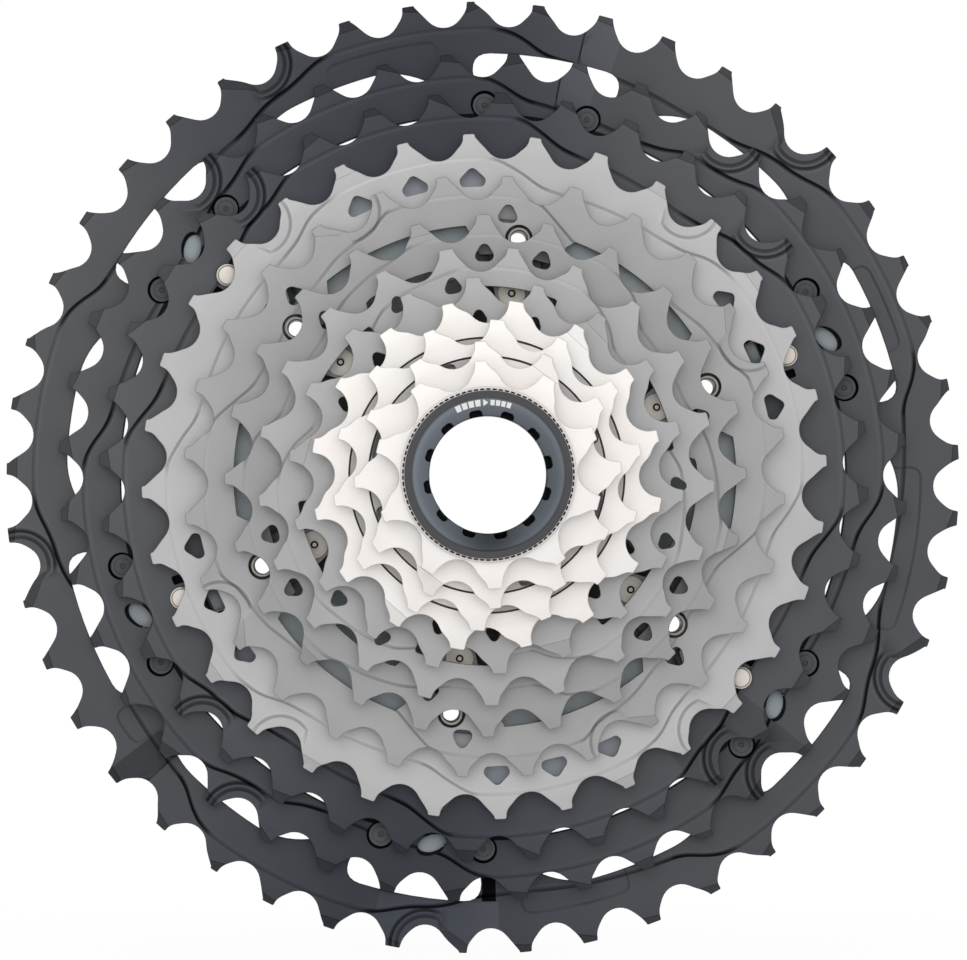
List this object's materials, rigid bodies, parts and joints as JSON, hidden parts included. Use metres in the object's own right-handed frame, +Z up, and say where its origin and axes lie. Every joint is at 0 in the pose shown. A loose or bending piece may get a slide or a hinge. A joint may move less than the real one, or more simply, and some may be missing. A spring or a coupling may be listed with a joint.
{
  "type": "bicycle cassette",
  "caption": "Stack of toothed sprockets stepping from small to large on a riveted spider and carrier, closed by a notched lock ring; pieces slide off hub splines once the ring is unscrewed.",
  "frame": {"origin": "on the spin axis, halfway between the hub's back face and the lock ring's front face", "axes": "+Y along the spin axis from the small sprockets to the large ones, +Z up, +X to the right when looking at the small-sprocket side"},
  "size_m": [0.1843, 0.0446, 0.1843],
  "materials": {
    "dark_anodised_aluminium": "satin dark grey anodising",
    "blasted_titanium": "fine bead-blasted titanium grey",
    "plated_steel": "satin bright nickel plate",
    "slate_aluminium": "matt slate anodising",
    "black_aluminium": "matt black anodising",
    "lock_ring_black": "satin charcoal anodising",
    "bright_rivet": "turned bright steel",
    "black_rivet": "black oxide"
  },
  "bodies": {
    "large_unit": {"sprocket_45t": "dark_anodised_aluminium", "sprocket_40t": "dark_anodised_aluminium", "sprocket_36t": "dark_anodised_aluminium", "sprocket_32t": "blasted_titanium", "sprocket_28t": "blasted_titanium", "main_spider": "slate_aluminium", "tube_rivet_28t_1": "bright_rivet", "tube_rivet_28t_2": "bright_rivet", "tube_rivet_28t_3": "bright_rivet", "tube_rivet_28t_4": "bright_rivet", "tube_rivet_28t_5": "bright_rivet", "tube_rivet_28t_6": "bright_rivet", "rivet_32t_1": "bright_rivet", "rivet_32t_2": "bright_rivet", "rivet_32t_3": "bright_rivet", "rivet_32t_4": "bright_rivet", "rivet_32t_5": "bright_rivet", "rivet_32t_6": "bright_rivet", "rivet_36t_1": "bright_rivet", "rivet_36t_2": "bright_rivet", "rivet_36t_3": "bright_rivet", "rivet_36t_4": "bright_rivet", "rivet_36t_5": "bright_rivet", "rivet_36t_6": "bright_rivet", "rivet_40t_45t_1": "black_rivet", "rivet_40t_45t_2": "black_rivet", "rivet_40t_45t_3": "black_rivet", "rivet_40t_45t_4": "black_rivet", "rivet_40t_45t_5": "black_rivet", "rivet_40t_45t_6": "black_rivet", "rivet_40t_45t_7": "black_rivet", "rivet_40t_45t_8": "black_rivet", "rivet_40t_45t_9": "black_rivet", "rivet_40t_45t_10": "black_rivet", "rivet_40t_45t_11": "black_rivet", "rivet_40t_45t_12": "black_rivet"},
    "small_unit": {"sprocket_24t": "blasted_titanium", "sprocket_21t": "blasted_titanium", "sprocket_18t": "blasted_titanium", "small_carrier": "black_aluminium", "carrier_rivet_1": "bright_rivet", "carrier_rivet_2": "bright_rivet", "carrier_rivet_3": "bright_rivet", "carrier_rivet_4": "bright_rivet", "carrier_rivet_5": "bright_rivet", "carrier_rivet_6": "bright_rivet"},
    "loose_16t": {"spacer_18t_16t": "plated_steel", "sprocket_16t": "plated_steel"},
    "loose_14t": {"spacer_16t_14t": "plated_steel", "sprocket_14t": "plated_steel"},
    "loose_12t": {"spacer_14t_12t": "plated_steel", "sprocket_12t": "plated_steel"},
    "loose_10t": {"sprocket_10t": "plated_steel"},
    "friction_washer": {"lock_ring_washer": "plated_steel"},
    "screw_ring": {"lock_ring": "lock_ring_black"}
  },
  "joints": [
    {"name": "small_unit_slide", "type": "slide", "parent": "large_unit", "child": "small_unit", "axis": [0, -1, 0], "range_m": [0, 0.02]},
    {"name": "loose_16t_slide", "type": "slide", "parent": "small_unit", "child": "loose_16t", "axis": [0, -1, 0], "range_m": [0, 0.015]},
    {"name": "loose_14t_slide", "type": "slide", "parent": "loose_16t", "child": "loose_14t", "axis": [0, -1, 0], "range_m": [0, 0.012]},
    {"name": "loose_12t_slide", "type": "slide", "parent": "loose_14t", "child": "loose_12t", "axis": [0, -1, 0], "range_m": [0, 0.012]},
    {"name": "loose_10t_slide", "type": "slide", "parent": "loose_12t", "child": "loose_10t", "axis": [0, -1, 0], "range_m": [0, 0.012]},
    {"name": "lock_ring_travel", "type": "slide", "parent": "loose_10t", "child": "friction_washer", "axis": [0, -1, 0], "range_m": [0, 0.00701]},
    {"name": "lock_ring_turn", "type": "hinge", "parent": "friction_washer", "child": "screw_ring", "pos_m": [0, 0, 0], "axis": [0, -1, 0], "range_deg": [0, 2520]}
  ],
  "couplings": [
    {"joint": "lock_ring_travel", "follows": "lock_ring_turn", "m_per_rad": 0.00015915}
  ]
}
